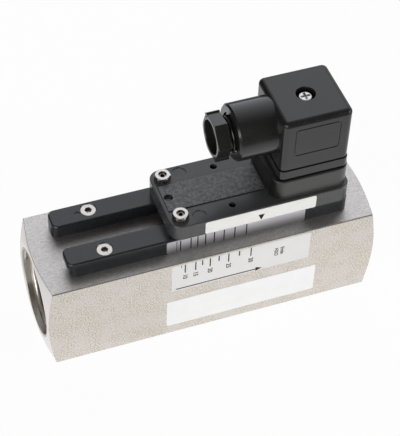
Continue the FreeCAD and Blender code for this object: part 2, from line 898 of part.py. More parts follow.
def connector_base():
    """Pedestal with large round corners that carries the pins and the centre screw's nut."""
    base = square_plate(pedestal_length / 2, pedestal_width / 2,
                        housing_top_z, pedestal_top_z, pedestal_corner)
    base = base.makeFillet(pedestal_edge, level_edges(base, pedestal_top_z))
    for index in range(pin_count):
        base = base.cut(pin_blade(index, 0.0, housing_top_z - overcut, pedestal_top_z + overcut))
    shaft_radius = center_screw_radius + running_clearance
    base = base.cut(post(shaft_radius, connector_x, 0, base_nut_top_z - overcut, pedestal_top_z + overcut))
    base = base.cut(post(base_nut_radius, connector_x, 0, housing_top_z - overcut, base_nut_top_z))
    for x, y in base_screw_places():
        head_z = pedestal_top_z - base_screw_head_height
        base = base.cut(post(base_screw_radius, x, y, housing_top_z - overcut, pedestal_top_z + overcut))
        base = base.cut(post(base_screw_head, x, y, head_z, pedestal_top_z + overcut))
    return base


def contact_pins():
    """Two live blades and the earth blade."""
    return Part.makeCompound([pin_blade(index, 0.0, pin_bottom_z, pin_top_z) for index in range(pin_count)])


def base_nut():
    """Threaded bush for the centre screw, set in the connector base."""
    nut = post(base_nut_radius, connector_x, 0, base_nut_bottom_z, base_nut_top_z)
    bore = post(center_screw_radius + running_clearance, connector_x, 0,
                base_nut_bottom_z - overcut, base_nut_top_z + overcut)
    return nut.cut(bore)


def base_screws():
    """Pan head screws that hold the connector base on the housing."""
    screws = []
    for x, y in base_screw_places():
        head_z = pedestal_top_z - base_screw_head_height
        head = post(base_screw_head, x, y, head_z, pedestal_top_z)
        shank = post(base_screw_radius, x, y, pedestal_top_z - base_screw_length, pedestal_top_z)
        slot_floor_z = pedestal_top_z - base_screw_head_height / 2
        slot = block(x - base_screw_head - overcut, x + base_screw_head + overcut,
                     y - driver_slot_width / 2, y + driver_slot_width / 2,
                     slot_floor_z, pedestal_top_z + overcut)
        screws.append(fused([head, shank]).cut(slot))
    return Part.makeCompound(screws)


def connector_gasket():
    """Square seal between the base and the plug, with a thin lip round it."""
    core_half = rim_half - gasket_groove
    core = square_plate(core_half, core_half, pedestal_top_z, cover_bottom_z, cover_corner)
    lip_half = rim_half - gasket_inset
    lip_z = pedestal_top_z + gasket_lip_rise
    lip = square_plate(lip_half, lip_half, lip_z, lip_z + gasket_lip_height, cover_corner)
    opening = square_plate(cavity_half, cavity_half, pedestal_top_z - overcut, cover_bottom_z + overcut,
                           cover_corner / 2)
    return fused([core, lip]).cut(opening)


def frame_groove():
    """Cutter for the shallow frame on the cover's front: a rounded rectangle's outline."""
    face_y = -cover_width / 2
    floor_y = face_y + frame_groove_depth
    middle_z = cover_bottom_z + frame_rise + frame_height / 2
    solids = []
    for inset in (0.0, frame_groove_width):
        half_x = frame_width / 2 - inset
        half_z = frame_height / 2 - inset
        solid = block(connector_x - half_x, connector_x + half_x, face_y - overcut, floor_y,
                      middle_z - half_z, middle_z + half_z)
        solids.append(solid.makeFillet(frame_corner - inset, edges_along_y(solid)))
    return solids[0].cut(solids[1])


def connector_cover():
    """Plug housing with a bevelled top, a grooved rim, a front frame, a screw recess and a gland collar."""
    half = cover_width / 2
    upper = square_plate(half, half, cover_bottom_z, cover_top_z, cover_corner)
    bevel = min(cover_top_chamfer, cover_corner - rounding_step)
    upper = upper.makeChamfer(bevel, level_edges(upper, cover_top_z))
    upper = upper.cut(frame_groove())
    rim = square_plate(rim_half, rim_half, cover_bottom_z, rim_top_z, cover_corner)
    rim = rim.makeFillet(rim_edge, level_edges(rim, cover_bottom_z))
    collar = turned([
        (collar_end_x, 0),
        (collar_end_x, collar_radius - collar_chamfer),
        (collar_end_x + collar_chamfer, collar_radius),
        (cover_left_x + cover_wall, collar_radius),
        (cover_left_x + cover_wall, 0),
    ], gland_z)
    shell = fused([upper, rim, collar])
    groove_outer = square_plate(half + overcut, half + overcut,
                                rim_top_z, rim_top_z + groove_height, cover_corner)
    groove_inner = square_plate(half - groove_depth, half - groove_depth,
                                rim_top_z - overcut, rim_top_z + groove_height + overcut, cover_corner)
    shell = shell.cut(groove_outer.cut(groove_inner))
    cavity = square_plate(cavity_half, cavity_half, cover_bottom_z - overcut, cover_top_z - cover_roof,
                          cover_corner / 2)
    cavity = cavity.cut(post(pillar_radius, connector_x, 0, block_top_z + running_clearance, cover_top_z))
    shell = shell.cut(cavity)
    shell = shell.cut(post(recess_radius, connector_x, 0, recess_floor_z, cover_top_z + overcut))
    shaft_radius = center_screw_radius + running_clearance
    shell = shell.cut(post(shaft_radius, connector_x, 0, block_top_z - overcut, recess_floor_z + overcut))
    shell = shell.cut(along_x(collar_bore_radius, collar_end_x - overcut, seal_end_x, gland_z))
    return shell.cut(along_x(wall_hole_radius, collar_end_x, cover_left_x + cover_wall + overcut, gland_z))


def terminal_block():
    """Insulating block inside the plug with pockets for the contacts and wells for their screws."""
    body = square_plate(block_half, block_half, block_bottom_z, block_top_z, cover_corner / 2)
    shaft_radius = center_screw_radius + running_clearance
    body = body.cut(post(shaft_radius, connector_x, 0, block_bottom_z - overcut, block_top_z + overcut))
    pocket_top_z = block_bottom_z + contact_height
    for index in range(pin_count):
        x, y = pin_place(index)
        body = body.cut(pin_blade(index, 2 * contact_wall, block_bottom_z - overcut, pocket_top_z))
        body = body.cut(post(terminal_screw_radius, x, y, pocket_top_z - overcut, block_top_z + overcut))
    return body


def terminal_contacts():
    """Spring sleeves that grip the pins."""
    contacts = []
    for index in range(pin_count):
        sleeve = pin_blade(index, 2 * contact_wall - running_clearance,
                           block_bottom_z, block_bottom_z + contact_height)
        slit = pin_blade(index, contact_wall / 2, block_bottom_z - overcut,
                         block_bottom_z + contact_height - contact_wall)
        contacts.append(sleeve.cut(slit))
    return Part.makeCompound(contacts)


def terminal_screws():
    """Screws on top of the terminal block that clamp the conductors."""
    screws = []
    head_top_z = block_top_z + terminal_screw_head_height
    slot_floor_z = head_top_z - terminal_screw_head_height / 2
    for index in range(pin_count):
        x, y = pin_place(index)
        shank = post(terminal_screw_radius, x, y, block_bottom_z + contact_height, block_top_z)
        head = post(terminal_screw_head, x, y, block_top_z, head_top_z)
        slot = block(x - terminal_screw_head - overcut, x + terminal_screw_head + overcut,
                     y - driver_slot_width / 2, y + driver_slot_width / 2,
                     slot_floor_z, head_top_z + overcut)
        screws.append(fused([shank, head]).cut(slot))
    return Part.makeCompound(screws)


def gland_washer():
    """Thrust washer between the gland nut and the seal."""
    return tube(gland_thread_radius, cable_hole_radius, washer_x, seal_x, gland_z)


def gland_seal():
    """Rubber ring that the gland nut squeezes round the cable."""
    return tube(gland_thread_radius, gland_seal_hole, seal_x, seal_end_x, gland_z)


def gland_nut():
    """Hexagon-headed gland screw with a wide mouth, a narrow neck, a threaded shank and a cable hole."""
    reach = gland_nut_flats / math.sqrt(3)
    slope = gland_nut_chamfer / (reach - gland_nut_flats / 2)
    head = hexagon_along_x(gland_nut_flats, hex_start_x, hex_end_x, gland_z, gland_nut_turn)
    crown = turned([
        (hex_start_x, 0),
        (hex_start_x, gland_nut_flats / 2),
        (hex_start_x + gland_nut_chamfer + overcut * slope, reach + overcut),
        (hex_end_x, reach + overcut),
        (hex_end_x, 0),
    ], gland_z)
    neck = along_x(gland_neck_radius, hex_end_x - overcut, shank_end_x, gland_z)
    shank = along_x(gland_thread_radius, shank_start_x, shank_end_x, gland_z)
    nut = fused([head.common(crown), neck, shank])
    mouth_end_x = hex_start_x + cable_mouth_depth
    hole = turned([
        (hex_start_x - overcut, 0),
        (hex_start_x - overcut, cable_mouth_radius + cable_mouth_chamfer + overcut),
        (hex_start_x + cable_mouth_chamfer, cable_mouth_radius),
        (mouth_end_x, cable_mouth_radius),
        (mouth_end_x, cable_hole_radius),
        (shank_end_x + overcut, cable_hole_radius),
        (shank_end_x + overcut, 0),
    ], gland_z)
    return nut.cut(hole)


def center_screw():
    """Cross-recessed screw that holds the plug on the base."""
    head_top_z = recess_floor_z + center_screw_head_height
    head = post(center_screw_head, connector_x, 0, recess_floor_z, head_top_z)
    head = head.makeFillet(center_screw_head_height / 3, level_edges(head, head_top_z))
    shank = post(center_screw_radius, connector_x, 0, base_nut_bottom_z, recess_floor_z + overcut)
    screw = fused([head, shank])
    arm = center_screw_cross_reach
    half_width = center_screw_cross_width / 2
    floor_z = head_top_z - center_screw_cross_depth
    for reach_x, reach_y in ((arm, half_width), (half_width, arm)):
        screw = screw.cut(block(connector_x - reach_x, connector_x + reach_x, -reach_y, reach_y,
                                floor_z, head_top_z + overcut))
    return screw


builders = (
    flow_body, slotted_nozzle, nozzle_ring, spring_seat, seat_ring, return_spring,
    float_body, float_magnet, float_cap,
    front_rail, rear_rail, rail_screws, rail_scale_strip, flow_scale_label, type_label,
    switch_housing, housing_base, reed_glass, reed_blades, lead_wires, clamp_bushes, housing_label,
    front_clamp_screw, rear_clamp_screw, front_lock_nut, rear_lock_nut,
    connector_base, contact_pins, base_nut, base_screws,
    connector_gasket, connector_cover, terminal_block, terminal_contacts, terminal_screws,
    gland_washer, gland_seal, gland_nut, center_screw,
)

os.makedirs("parts", exist_ok=True)
for builder in builders:
    builder().exportStep("parts/" + builder.__name__ + ".step")
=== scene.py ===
import json
import math

import bpy
from mathutils import Matrix, Vector


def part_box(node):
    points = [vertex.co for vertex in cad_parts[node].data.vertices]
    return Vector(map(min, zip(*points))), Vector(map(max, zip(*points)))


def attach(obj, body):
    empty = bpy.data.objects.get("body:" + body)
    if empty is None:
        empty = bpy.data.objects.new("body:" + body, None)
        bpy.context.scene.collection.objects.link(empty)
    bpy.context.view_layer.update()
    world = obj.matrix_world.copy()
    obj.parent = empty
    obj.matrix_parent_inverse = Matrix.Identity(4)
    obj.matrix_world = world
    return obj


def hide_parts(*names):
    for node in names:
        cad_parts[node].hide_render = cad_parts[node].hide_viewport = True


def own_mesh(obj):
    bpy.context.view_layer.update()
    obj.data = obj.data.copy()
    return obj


# Looks of the variable area flow switch, in metres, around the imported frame.
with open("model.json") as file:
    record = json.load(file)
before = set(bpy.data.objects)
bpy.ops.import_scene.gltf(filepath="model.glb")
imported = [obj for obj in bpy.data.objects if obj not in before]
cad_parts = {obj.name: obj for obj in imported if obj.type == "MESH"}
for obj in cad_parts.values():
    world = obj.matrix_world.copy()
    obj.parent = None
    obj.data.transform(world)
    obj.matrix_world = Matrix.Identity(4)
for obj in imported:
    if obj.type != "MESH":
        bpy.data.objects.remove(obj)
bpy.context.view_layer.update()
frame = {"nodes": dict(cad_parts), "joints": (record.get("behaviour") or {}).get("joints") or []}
nodes = frame["nodes"]
joint_places = {joint["name"]: joint["pos_m"] for joint in frame["joints"] if "pos_m" in joint}

MM = 0.001
AXIS_HEIGHT = 20.0 * MM

# Camera: turn about Z, height above the horizon, roll, distance and aim beside the bore's middle
CAMERA_AZIMUTH = -21.56
CAMERA_ELEVATION = 47.75
CAMERA_ROLL = 2.46
CAMERA_DISTANCE = 596.3 * MM
CAMERA_AIM_RIGHT = 1.04 * MM
CAMERA_AIM_UP = 12.80 * MM
IMAGE_HEIGHT_PX = 436
FOCAL_LENGTH_PX = 1535.8
SENSOR_WIDTH = 36.0

# Stage: a white floor and sweep, and a bright panel on either side of the camera in a dark room
FLOOR_SIZE = 8.0
FLOOR_COLOUR = (0.92, 0.92, 0.92)
FLOOR_GLOW = 0.96
FLOOR_FALL = (0.05, 0.38)
FLOOR_FAR = 0.1
ROOM_STRENGTH = 0.06
SWEEP_COLOUR = (0.97, 0.99, 1.06)
SWEEP_STRENGTH = 1.4
SWEEP_LEFT = (-0.35, -0.1)
SWEEP_TOP = (60.0, 160.0)
PANEL_COLOUR = (1.0, 0.995, 0.985)
PANEL_STRENGTH = 4.4
PANEL_MIDDLE = 0.12
PANEL_SIDES = (0.35, 0.55)
PANEL_BACK = (-0.4, -0.1)
PANEL_TOP = (0.33, 0.73)

# Regions of the finishes, in millimetres
PASSAGE_RADIUS = 17.6
ROOF_STEP = 0.4
SOCKET_DEPTH = 1.3
CLAMP_SOCKET_RADIUS = 0.85
STRIP_SHADE = (40.2, 45.4)
FADE_WIDTH = 0.1

# Sides that a finish tells apart, by how far the surface's normal leans along an axis
BAR_TOP = (0.8, 0.95)
BAR_SLOPE = (0.55, 0.65)
BAR_END = (0.6, 0.9)
SOCKET_WALL = (0.4, 0.8)
NUT_TOP = (0.5, 0.85)
GLAND_SHADE_FACING = (-0.6, -0.1)
SHADED_STEP_WALL = (0.3, 0.6)

# Softened edges, and the part of a noise pattern that is spread over a finish
PLAIN_EDGE = 0.12 * MM
HOUSING_EDGE = 0.24 * MM
BAR_EDGE = 0.4 * MM
BAR_EDGE_SHADE_SHARE = 0.75
EDGE_TURN = (0.74, 0.96)
EDGE_SAMPLES = 6
NOISE_BAND = (0.3, 0.7)
WIDE_BAND = (0.25, 0.75)
WHOLE_BAND = (0.0, 1.0)

# Optics of plastic, glass, film and print
PLASTIC_IOR = 1.55
GLASS_IOR = 1.5
WAVINESS = 10.0
FILM_SHADE = 0.965
INK_GLOSS = 0.25

# Colours of single regions; the passage, socket wall, gland side and roof step colours are painted shade,
# the bar edge and strip foot colours a painted dark reflection
BAR_END_COLOUR = (0.90, 0.87, 0.86)
BAR_EDGE_SHADE_COLOUR = (0.16, 0.145, 0.13)
PASSAGE_SHADE_COLOUR = (0.58, 0.545, 0.50)
SOCKET_FLOOR_COLOUR = (0.55, 0.46, 0.36)
SOCKET_WALL_SHADE_COLOUR = (0.10, 0.08, 0.065)
CLAMP_FACE_COLOUR = (0.40, 0.355, 0.32)
GLAND_SIDE_SHADE_COLOUR = (0.007, 0.007, 0.007)
STEP_SHADE_COLOUR = (0.003, 0.003, 0.003)
STRIP_FOOT_SHADE_COLOUR = (0.24, 0.235, 0.245)

# Turned metals: dark and light colour, and roughness
METALS = {
    "nozzle_brass": ((0.56, 0.40, 0.16), (0.70, 0.52, 0.24), 0.3),
    "spring_steel": ((0.32, 0.32, 0.33), (0.55, 0.55, 0.56), 0.28),
    "stainless": ((0.58, 0.565, 0.54), (0.78, 0.76, 0.73), 0.26),
    "magnet": ((0.05, 0.05, 0.055), (0.12, 0.12, 0.125), 0.45),
    "contact_brass": ((0.50, 0.36, 0.14), (0.76, 0.60, 0.30), 0.25),
}

# Mouldings: dark and light colour, roughness, grain in millimetres, relief and gloss
COVER_DARK = (0.010, 0.010, 0.0098)
COVER_LIGHT = (0.017, 0.017, 0.0165)
MOULDINGS = {
    "rail_black": ((0.010, 0.011, 0.0135), (0.018, 0.020, 0.024), 0.22, 0.4, 0.004 * MM, 0.5),
    "cover_black": (COVER_DARK, COVER_LIGHT, 0.17, 0.4, 0.003 * MM, 0.5),
    "cover_edge_black": (COVER_DARK, COVER_LIGHT, 0.24, 0.4, 0.003 * MM, 0.24),
    "terminal_grey": ((0.20, 0.20, 0.20), (0.27, 0.27, 0.27), 0.45, 0.4, 0.02 * MM, 0.5),
    "seal_rubber": ((0.004, 0.004, 0.004), (0.008, 0.008, 0.008), 0.7, 0.25, 0.02 * MM, 0.2),
}

# Films: colour and roughness
FILMS = {
    "label_white": ((0.895, 0.90, 0.905), 0.42),
    "label_grey": ((0.755, 0.751, 0.745), 0.45),
    "housing_film": ((0.81, 0.81, 0.79), 0.42),
    "wire_white": ((0.72, 0.72, 0.70), 0.5),
}

# Nodes with a finish of their own. The others take the finish of their record slot.
NODE_FINISHES = {
    "rail_screws": "socket_screw_steel",
    "front_clamp_screw": "clamp_screw_steel",
    "rear_clamp_screw": "clamp_screw_steel",
    "front_lock_nut": "nut_steel",
    "rear_lock_nut": "nut_steel",
    "connector_base": "pedestal_black",
    "housing_label": "housing_film",
}

# Sockets of a colour mix node
MIX_SHARE = 0
MIX_FIRST = 6
MIX_SECOND = 7
MIX_RESULT = 2

# Threads: pipe threads in both ports, and the screw thread on the gland nut's neck
PIPE_PITCH = 2.309 * MM
PIPE_CREST_RADIUS = 15.15 * MM
PIPE_ROOT_RADIUS = 16.64 * MM
PIPE_MOUTH_GAP = 0.35 * MM
INLET_THREAD_LENGTH = 16.6 * MM
OUTLET_THREAD_LENGTH = 20.8 * MM
GLAND_PITCH = 1.5 * MM
GLAND_CREST_RADIUS = 7.5 * MM
GLAND_ROOT_RADIUS = 6.68 * MM
GLAND_HEX_LENGTH = 5.1 * MM
GLAND_NECK_LENGTH = 3.0 * MM
THREAD_STEPS_PER_TURN = 72

# Thread ridge: half widths at foot and crest in pitches, and how it fades out at its ends
THREAD_FOOT = 0.46
THREAD_LAND = 0.08
THREAD_FADE_TURNS = 0.4
THREAD_END_SHARE = 0.05

# Round top edge of the plug's cover: its square plan, the round and how far its back sinks into the bevel
COVER_HALF = 13.5 * MM
COVER_CORNER = 2.3 * MM
COVER_ROUND = 1.9 * MM
COVER_SINK = 0.2 * MM
COVER_ROUND_STEPS = 8
SHARP_ANGLE = 50.0

# Lugs on two corners of the gland nut: angles about its axis, then radius and half width at foot and top
LUG_ANGLES = (50.0, 230.0)
LUG_FOOT = (7.4 * MM, 1.15 * MM)
LUG_TOP = (9.1 * MM, 0.9 * MM)

# Coil spring
SPRING_WIRE_RADIUS = 0.6 * MM
SPRING_COIL_RADIUS = 6.4 * MM
SPRING_CLOSED_TURNS = 1.0
SPRING_OPEN_TURNS = 5.0
SPRING_STEPS_PER_TURN = 40
SPRING_WIRE_SIDES = 12

# Flow scale: a value's place along X is a second order curve, in millimetres
SCALE_START = -15.85
SCALE_LINEAR = 0.025
SCALE_SQUARE = 0.032
SCALE_NUMBERS = (10, 15, 20, 25, 30)
SCALE_BETWEEN = (17.5, 22.5, 27.5)
SCALE_FIRST = (7.5,)

# Print on the scale strip, the scale label and the housing label
INK_THICKNESS = 0.03 * MM
TICK_WIDTH = 0.46 * MM
FINE_TICK_WIDTH = 0.25 * MM
LONG_TICK = 4.5 * MM
SHORT_TICK = 2.7 * MM
FIRST_TICK = 1.4 * MM
TICK_MARGIN = 0.25 * MM
NUMBER_SIZE = 2.6 * MM
NUMBER_GAP = 1.0 * MM
NUMBER_BOLDNESS = 0.05 * MM
UNIT_SIZE = 2.1 * MM
UNIT_RISE = 1.7 * MM
UNITS = (("scale_medium", "H2O", 24.1 * MM), ("scale_unit", "l/min", 26.5 * MM))
ARROW_START = -15.9 * MM
ARROW_TIP = 18.7 * MM
ARROW_HEIGHT = 25.75 * MM
ARROW_LINE_WIDTH = 0.52 * MM
ARROW_HEAD_LENGTH = 2.6 * MM
ARROW_HEAD_HALF = 1.05 * MM
POINTER_X = 18.95 * MM
POINTER_TOP = 50.6 * MM
POINTER_TIP = 47.65 * MM
POINTER_HALF_WIDTH = 1.25 * MM


class Wiring:
    """Short ways to add and link the nodes of one shader tree."""

    def __init__(self, tree):
        self.tree = tree

    def add(self, kind, **settings):
        """New node with its settings."""
        node = self.tree.nodes.new(kind)
        for key, value in settings.items():
            setattr(node, key, value)
        return node

    def feed(self, socket, source):
        """Links a socket, or sets its value."""
        if isinstance(source, bpy.types.NodeSocket):
            self.tree.links.new(source, socket)
        elif socket.type == "RGBA":
            socket.default_value = (*source, 1.0)
        else:
            socket.default_value = source

    def axis(self, vector, letter):
        """One part of a vector."""
        split = self.add("ShaderNodeSeparateXYZ")
        self.feed(split.inputs[0], vector)
        return split.outputs[letter]

    def length(self, vector):
        """Length of a vector."""
        node = self.add("ShaderNodeVectorMath", operation="LENGTH")
        self.feed(node.inputs[0], vector)
        return node.outputs["Value"]

    def math(self, operation, first, second=0.0, clamp=False):
        """One arithmetic step."""
        node = self.add("ShaderNodeMath", operation=operation, use_clamp=clamp)
        self.feed(node.inputs[0], first)
        self.feed(node.inputs[1], second)
        return node.outputs[0]

    def summed(self, first, first_weight, second, second_weight):
        """Sum of two values, each times its weight."""
        first_part = self.math("MULTIPLY", first, first_weight)
        second_part = self.math("MULTIPLY", second, second_weight)
        return self.math("ADD", first_part, second_part)

    def spread(self, value, low, high, to_low=0.0, to_high=1.0):
        """Value stretched from one range to another, smoothly and kept inside it."""
        node = self.add("ShaderNodeMapRange", interpolation_type="SMOOTHSTEP")
        for socket, source in zip(node.inputs, (value, low, high, to_low, to_high)):
            self.feed(socket, source)
        return node.outputs[0]

    def fall(self, value, low, high):
        """Share that falls smoothly from 1 to 0 while a value rises from low to high."""
        return self.spread(value, low, high, 1.0, 0.0)

    def blend(self, share, first, second):
        """Colour between two colours."""
        node = self.add("ShaderNodeMix", data_type="RGBA")
        self.feed(node.inputs[MIX_SHARE], share)
        self.feed(node.inputs[MIX_FIRST], first)
        self.feed(node.inputs[MIX_SECOND], second)
        return node.outputs[MIX_RESULT]


class Finish(Wiring):
    """A procedural material whose textures are laid out in millimetres of the object's own space."""

    def __init__(self, name, colour, roughness, metallic=0.0):
        self.material = bpy.data.materials.new(name)
        self.material.use_nodes = True
        self.material.diffuse_color = (*colour, 1.0)
        super().__init__(self.material.node_tree)
        self.shader = self.tree.nodes["Principled BSDF"]
        self.coordinates = self.add("ShaderNodeTexCoord")
        self.set("Base Color", colour)
        self.set("Roughness", roughness)
        self.set("Metallic", metallic)

    def set(self, socket_name, source):
        """Links or sets one of the shader's own sockets."""
        self.feed(self.shader.inputs[socket_name], source)

    def place(self, stretch=(1.0, 1.0, 1.0)):
        """Object position in millimetres, stretched per axis."""
        mapping = self.add("ShaderNodeMapping")
        self.feed(mapping.inputs["Vector"], self.coordinates.outputs["Object"])
        self.feed(mapping.inputs["Scale"], [factor / MM for factor in stretch])
        return mapping.outputs["Vector"]

    def height(self):
        """Height in millimetres."""
        return self.axis(self.place(), "Z")

    def from_axis(self, height):
        """Distance in millimetres from a line along X at that height."""
        shifted = self.add("ShaderNodeVectorMath", operation="SUBTRACT")
        self.feed(shifted.inputs[0], self.place((0.0, 1.0, 1.0)))
        self.feed(shifted.inputs[1], (0.0, 0.0, height))
        return self.length(shifted.outputs["Vector"])

    def from_upright(self, x, y):
        """Distance in millimetres from an upright line at x, and at y on either side of the middle."""
        place = self.place()
        aside = self.math("ABSOLUTE", self.axis(place, "Y"))
        beside = self.add("ShaderNodeCombineXYZ")
        self.feed(beside.inputs["X"], self.math("SUBTRACT", self.axis(place, "X"), x))
        self.feed(beside.inputs["Y"], self.math("SUBTRACT", aside, y))
        return self.length(beside.outputs[0])

    def noise(self, grain, detail=2.0, stretch=(1.0, 1.0, 1.0)):
        """Cloudy pattern with grains of about that many millimetres, from 0 to 1."""
        texture = self.add("ShaderNodeTexNoise")
        self.feed(texture.inputs["Vector"], self.place(stretch))
        self.feed(texture.inputs["Scale"], 1.0 / grain)
        self.feed(texture.inputs["Detail"], detail)
        return texture.outputs["Fac"]

    def mottled(self, pattern, dark, light, band=NOISE_BAND):
        """Colour that follows a pattern from dark to light."""
        return self.blend(self.spread(pattern, *band), dark, light)

    def patched(self, colour, pattern, patch, band, most):
        """Colour with patches of another one where a pattern is high."""
        return self.blend(self.spread(pattern, *band, 0.0, most), colour, patch)

    def roughen(self, pattern, low, high, band=NOISE_BAND):
        """Roughness that follows a pattern from low to high."""
        self.set("Roughness", self.spread(pattern, *band, low, high))

    def facing(self, letter):
        """The surface normal's part along one axis of the object."""
        return self.axis(self.coordinates.outputs["Normal"], letter)

    def rounded(self, radius):
        """Normal that turns smoothly over sharp edges."""
        node = self.add("ShaderNodeBevel", samples=EDGE_SAMPLES)
        self.feed(node.inputs["Radius"], radius)
        return node.outputs["Normal"]

    def edges(self, normal):
        """Share that grows where a rounded normal leaves the flat one."""
        turn = self.add("ShaderNodeVectorMath", operation="DOT_PRODUCT")
        self.feed(turn.inputs[0], normal)
        self.feed(turn.inputs[1], self.add("ShaderNodeNewGeometry").outputs["Normal"])
        return self.fall(turn.outputs["Value"], *EDGE_TURN)

    def bump(self, pattern, depth, strength, normal=None):
        """Raises the surface by a pattern, with a depth in metres."""
        node = self.add("ShaderNodeBump")
        if normal:
            self.feed(node.inputs["Normal"], normal)
        self.feed(node.inputs["Height"], pattern)
        self.feed(node.inputs["Distance"], depth)
        self.feed(node.inputs["Strength"], strength)
        self.set("Normal", node.outputs["Normal"])


def bar_steel():
    """Stainless bar: grained sides, ground top and bright turned ends, with painted shade in the bored
    passages and a painted dark reflection on its chamfers and edges.
    """
    finish = Finish("bar_steel", colour=(0.66, 0.62, 0.57), roughness=0.45, metallic=1.0)
    speckle = finish.noise(grain=0.5, detail=3.0)
    fleck = finish.noise(grain=0.95)
    cloud = finish.noise(grain=7.0, detail=3.0)
    sides = finish.mottled(speckle, dark=(0.50, 0.46, 0.415), light=(0.90, 0.85, 0.78), band=(0.33, 0.67))
    sides = finish.patched(sides, fleck, patch=(0.40, 0.365, 0.33), band=(0.6, 0.78), most=0.5)
    sides = finish.patched(sides, cloud, patch=(0.78, 0.735, 0.715), band=(0.4, 0.65), most=0.45)
    streak = finish.noise(grain=0.35, detail=3.0, stretch=(0.25, 1.0, 1.0))
    haze = finish.noise(grain=3.0, detail=3.0)
    woven = finish.summed(streak, 0.5, speckle, 0.5)
    top = finish.mottled(woven, dark=(0.465, 0.445, 0.425), light=(0.69, 0.665, 0.64), band=(0.36, 0.64))
    top = finish.patched(top, haze, patch=(0.62, 0.60, 0.585), band=(0.4, 0.7), most=0.4)
    upward = finish.spread(finish.facing("Z"), *BAR_TOP)
    colour = finish.blend(upward, sides, top)
    endward = finish.spread(finish.math("ABSOLUTE", finish.facing("X")), *BAR_END)
    colour = finish.blend(endward, colour, BAR_END_COLOUR)
    # Painted shade: the bored passages are darker inside the bore
    passage_shade = finish.fall(finish.from_axis(AXIS_HEIGHT / MM), PASSAGE_RADIUS - FADE_WIDTH, PASSAGE_RADIUS)
    colour = finish.blend(passage_shade, colour, PASSAGE_SHADE_COLOUR)
    # Painted dark reflection: the chamfers and rounded edges are darkened where they would mirror the
    # dark room
    sloping = finish.spread(finish.facing("Z"), *BAR_SLOPE)
    chamfer = finish.math("SUBTRACT", sloping, upward, clamp=True)
    normal = finish.rounded(BAR_EDGE)
    edge = finish.math("MAXIMUM", chamfer, finish.edges(normal))
    edge = finish.math("MULTIPLY", edge, BAR_EDGE_SHADE_SHARE)
    finish.set("Base Color", finish.blend(edge, colour, BAR_EDGE_SHADE_COLOUR))
    finish.roughen(upward, low=0.5, high=0.45, band=WHOLE_BAND)
    relief = finish.summed(speckle, 0.8, streak, 0.25)
    finish.bump(relief, depth=0.02 * MM, strength=0.7, normal=normal)
    return finish.material


def thread_steel():
    """Turned steel of the port threads."""
    finish = Finish("thread_steel", colour=(0.44, 0.42, 0.39), roughness=0.32, metallic=1.0)
    marks = finish.noise(grain=0.3, stretch=(1.0, 0.08, 0.08))
    finish.set("Base Color", finish.blend(marks, first=(0.56, 0.535, 0.495), second=(0.84, 0.80, 0.75)))
    finish.roughen(marks, low=0.24, high=0.42, band=(0.2, 0.8))
    return finish.material


def turned_metal(name, dark, light, roughness):
    """Turned or drawn metal with fine marks and a little cloudiness."""
    finish = Finish(name, light, roughness, metallic=1.0)
    marks = finish.noise(grain=0.4, detail=1.0, stretch=(1.0, 0.3, 0.3))
    cloud = finish.noise(grain=2.5)
    uneven = finish.summed(marks, 0.6, cloud, 0.4)
    finish.set("Base Color", finish.mottled(uneven, dark, light))
    finish.roughen(marks, low=roughness, high=roughness * 1.15, band=WIDE_BAND)
    finish.bump(marks, depth=0.003 * MM, strength=0.3, normal=finish.rounded(PLAIN_EDGE))
    return finish.material


def tarnish(finish, cloud, low, high):
    """Uneven gloss and relief of a small steel piece, whose roughness goes from low to high."""
    finish.roughen(cloud, low, high)
    finish.bump(cloud, depth=0.01 * MM, strength=0.3, normal=finish.rounded(PLAIN_EDGE))


def socket_screw_steel():
    """Bright screw heads, with painted shade that darkens their sockets with depth."""
    finish = Finish("socket_screw_steel", colour=(0.62, 0.60, 0.565), roughness=0.3, metallic=1.0)
    cloud = finish.noise(grain=0.8)
    head = finish.mottled(cloud, dark=(0.54, 0.52, 0.485), light=(0.70, 0.675, 0.64))
    # Painted shade: the socket walls turn dark, and the head's colour gives way to the socket's with
    # depth
    shaded_walls = finish.fall(finish.facing("Z"), *SOCKET_WALL)
    socket = finish.blend(shaded_walls, SOCKET_FLOOR_COLOUR, SOCKET_WALL_SHADE_COLOUR)
    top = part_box("rail_screws")[1].z / MM
    sunk_shade = finish.fall(finish.height(), top - SOCKET_DEPTH, top - FADE_WIDTH)
    finish.set("Base Color", finish.blend(sunk_shade, head, socket))
    tarnish(finish, cloud, low=0.26, high=0.36)
    return finish.material


def clamp_screw_steel():
    """Set screws with a tarnished face around a dark brown socket, whose darkness is painted shade."""
    finish = Finish("clamp_screw_steel", colour=(0.34, 0.30, 0.27), roughness=0.34, metallic=1.0)
    cloud = finish.noise(grain=0.6)
    x, y = joint_places["rear_clamp_screw_turn"][:2]
    distance = finish.from_upright(x / MM, y / MM)
    face = finish.spread(distance, CLAMP_SOCKET_RADIUS - FADE_WIDTH, CLAMP_SOCKET_RADIUS + FADE_WIDTH)
    # Painted shade: the socket is a dark brown disc on the face
    socket = finish.mottled(cloud, dark=(0.05, 0.03, 0.024), light=(0.13, 0.085, 0.07))
    finish.set("Base Color", finish.blend(face, socket, CLAMP_FACE_COLOUR))
    tarnish(finish, cloud, low=0.28, high=0.42)
    return finish.material


def nut_steel():
    """Small nuts with bright turned tops, and sides painted darker as a painted reflection of the dark
    housing.
    """
    finish = Finish("nut_steel", colour=(0.6, 0.58, 0.55), roughness=0.3, metallic=1.0)
    cloud = finish.noise(grain=0.8)
    # Painted dark reflection: the sides are darker than the tops where they mirror the dark housing
    sides = finish.mottled(cloud, dark=(0.26, 0.24, 0.22), light=(0.42, 0.39, 0.365))
    top = finish.mottled(cloud, dark=(0.58, 0.56, 0.535), light=(0.72, 0.70, 0.67))
    upward = finish.spread(finish.facing("Z"), *NUT_TOP)
    finish.set("Base Color", finish.blend(upward, sides, top))
    tarnish(finish, cloud, low=0.26, high=0.38)
    return finish.material


